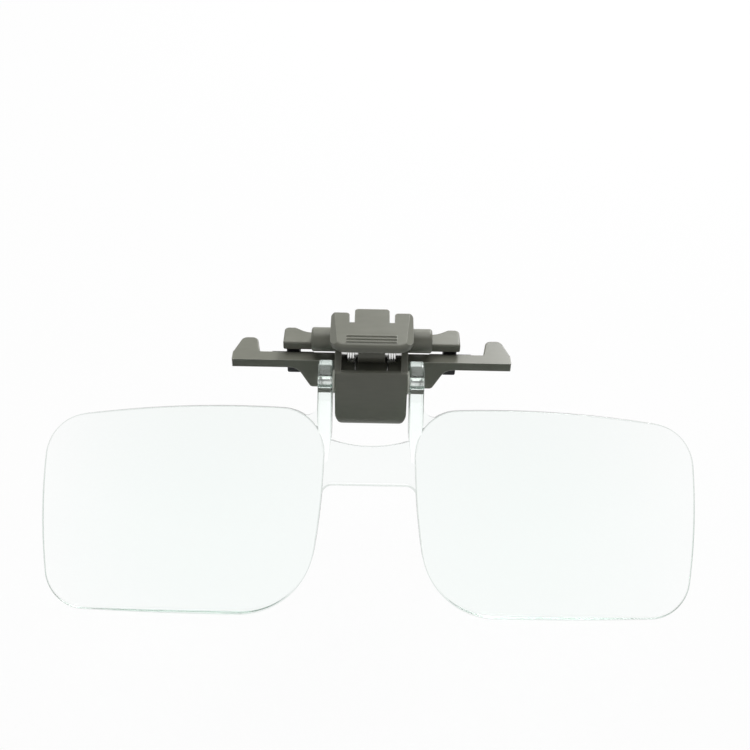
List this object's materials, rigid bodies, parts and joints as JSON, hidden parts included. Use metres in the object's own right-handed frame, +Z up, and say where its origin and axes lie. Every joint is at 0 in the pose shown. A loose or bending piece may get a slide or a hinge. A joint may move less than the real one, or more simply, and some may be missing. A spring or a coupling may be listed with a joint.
{
  "type": "clip on eyeglass loupe",
  "caption": "Clear flip-up magnifier plate with two lenses on a grey moulded clip with a sprung press lever that grips the rim of spectacles.",
  "frame": {"origin": "middle of the crossbar's back face, at its top edge, where the clip meets the spectacles", "axes": "+X to the right seen from the front, +Y back towards the wearer's face, +Z up"},
  "size_m": [0.1224, 0.04, 0.0466],
  "materials": {
    "grey_plastic": "moulded, semi-gloss warm grey",
    "clear_acrylic": "polished, clear",
    "steel": "bright drawn",
    "black_rubber": "matt",
    "white_nylon": "natural"
  },
  "bodies": {
    "root": {"crossbar": "grey_plastic", "front_housing": "grey_plastic", "clamp_pin": "steel", "friction_spring": "steel", "spring_left": "steel", "spring_right": "steel", "cover_screw_left": "steel", "cover_screw_right": "steel", "front_pad_left": "black_rubber", "front_pad_right": "black_rubber"},
    "lens": {"lens_plate": "clear_acrylic", "lens_axle": "steel", "friction_sleeve": "white_nylon", "axle_washer_left": "white_nylon", "axle_washer_right": "white_nylon"},
    "lever": {"press_lever": "grey_plastic", "rear_jaw": "grey_plastic", "jaw_screw_left": "steel", "jaw_screw_right": "steel", "jaw_tip_left": "black_rubber", "jaw_tip_right": "black_rubber"}
  },
  "joints": [
    {"name": "lens_flip", "type": "hinge", "parent": "root", "child": "lens", "pos_m": [0, -0.0069, -0.00155], "axis": [-1, 0, 0], "range_deg": [-37, 90]},
    {"name": "clamp_open", "type": "hinge", "parent": "root", "child": "lever", "pos_m": [0, -0.0046, 0.00375], "axis": [1, 0, 0], "range_deg": [0, 30], "stiffness_Nm_per_rad": 0.06, "springref_deg": -22.92, "deforming": ["spring_left", "spring_right"]}
  ]
}
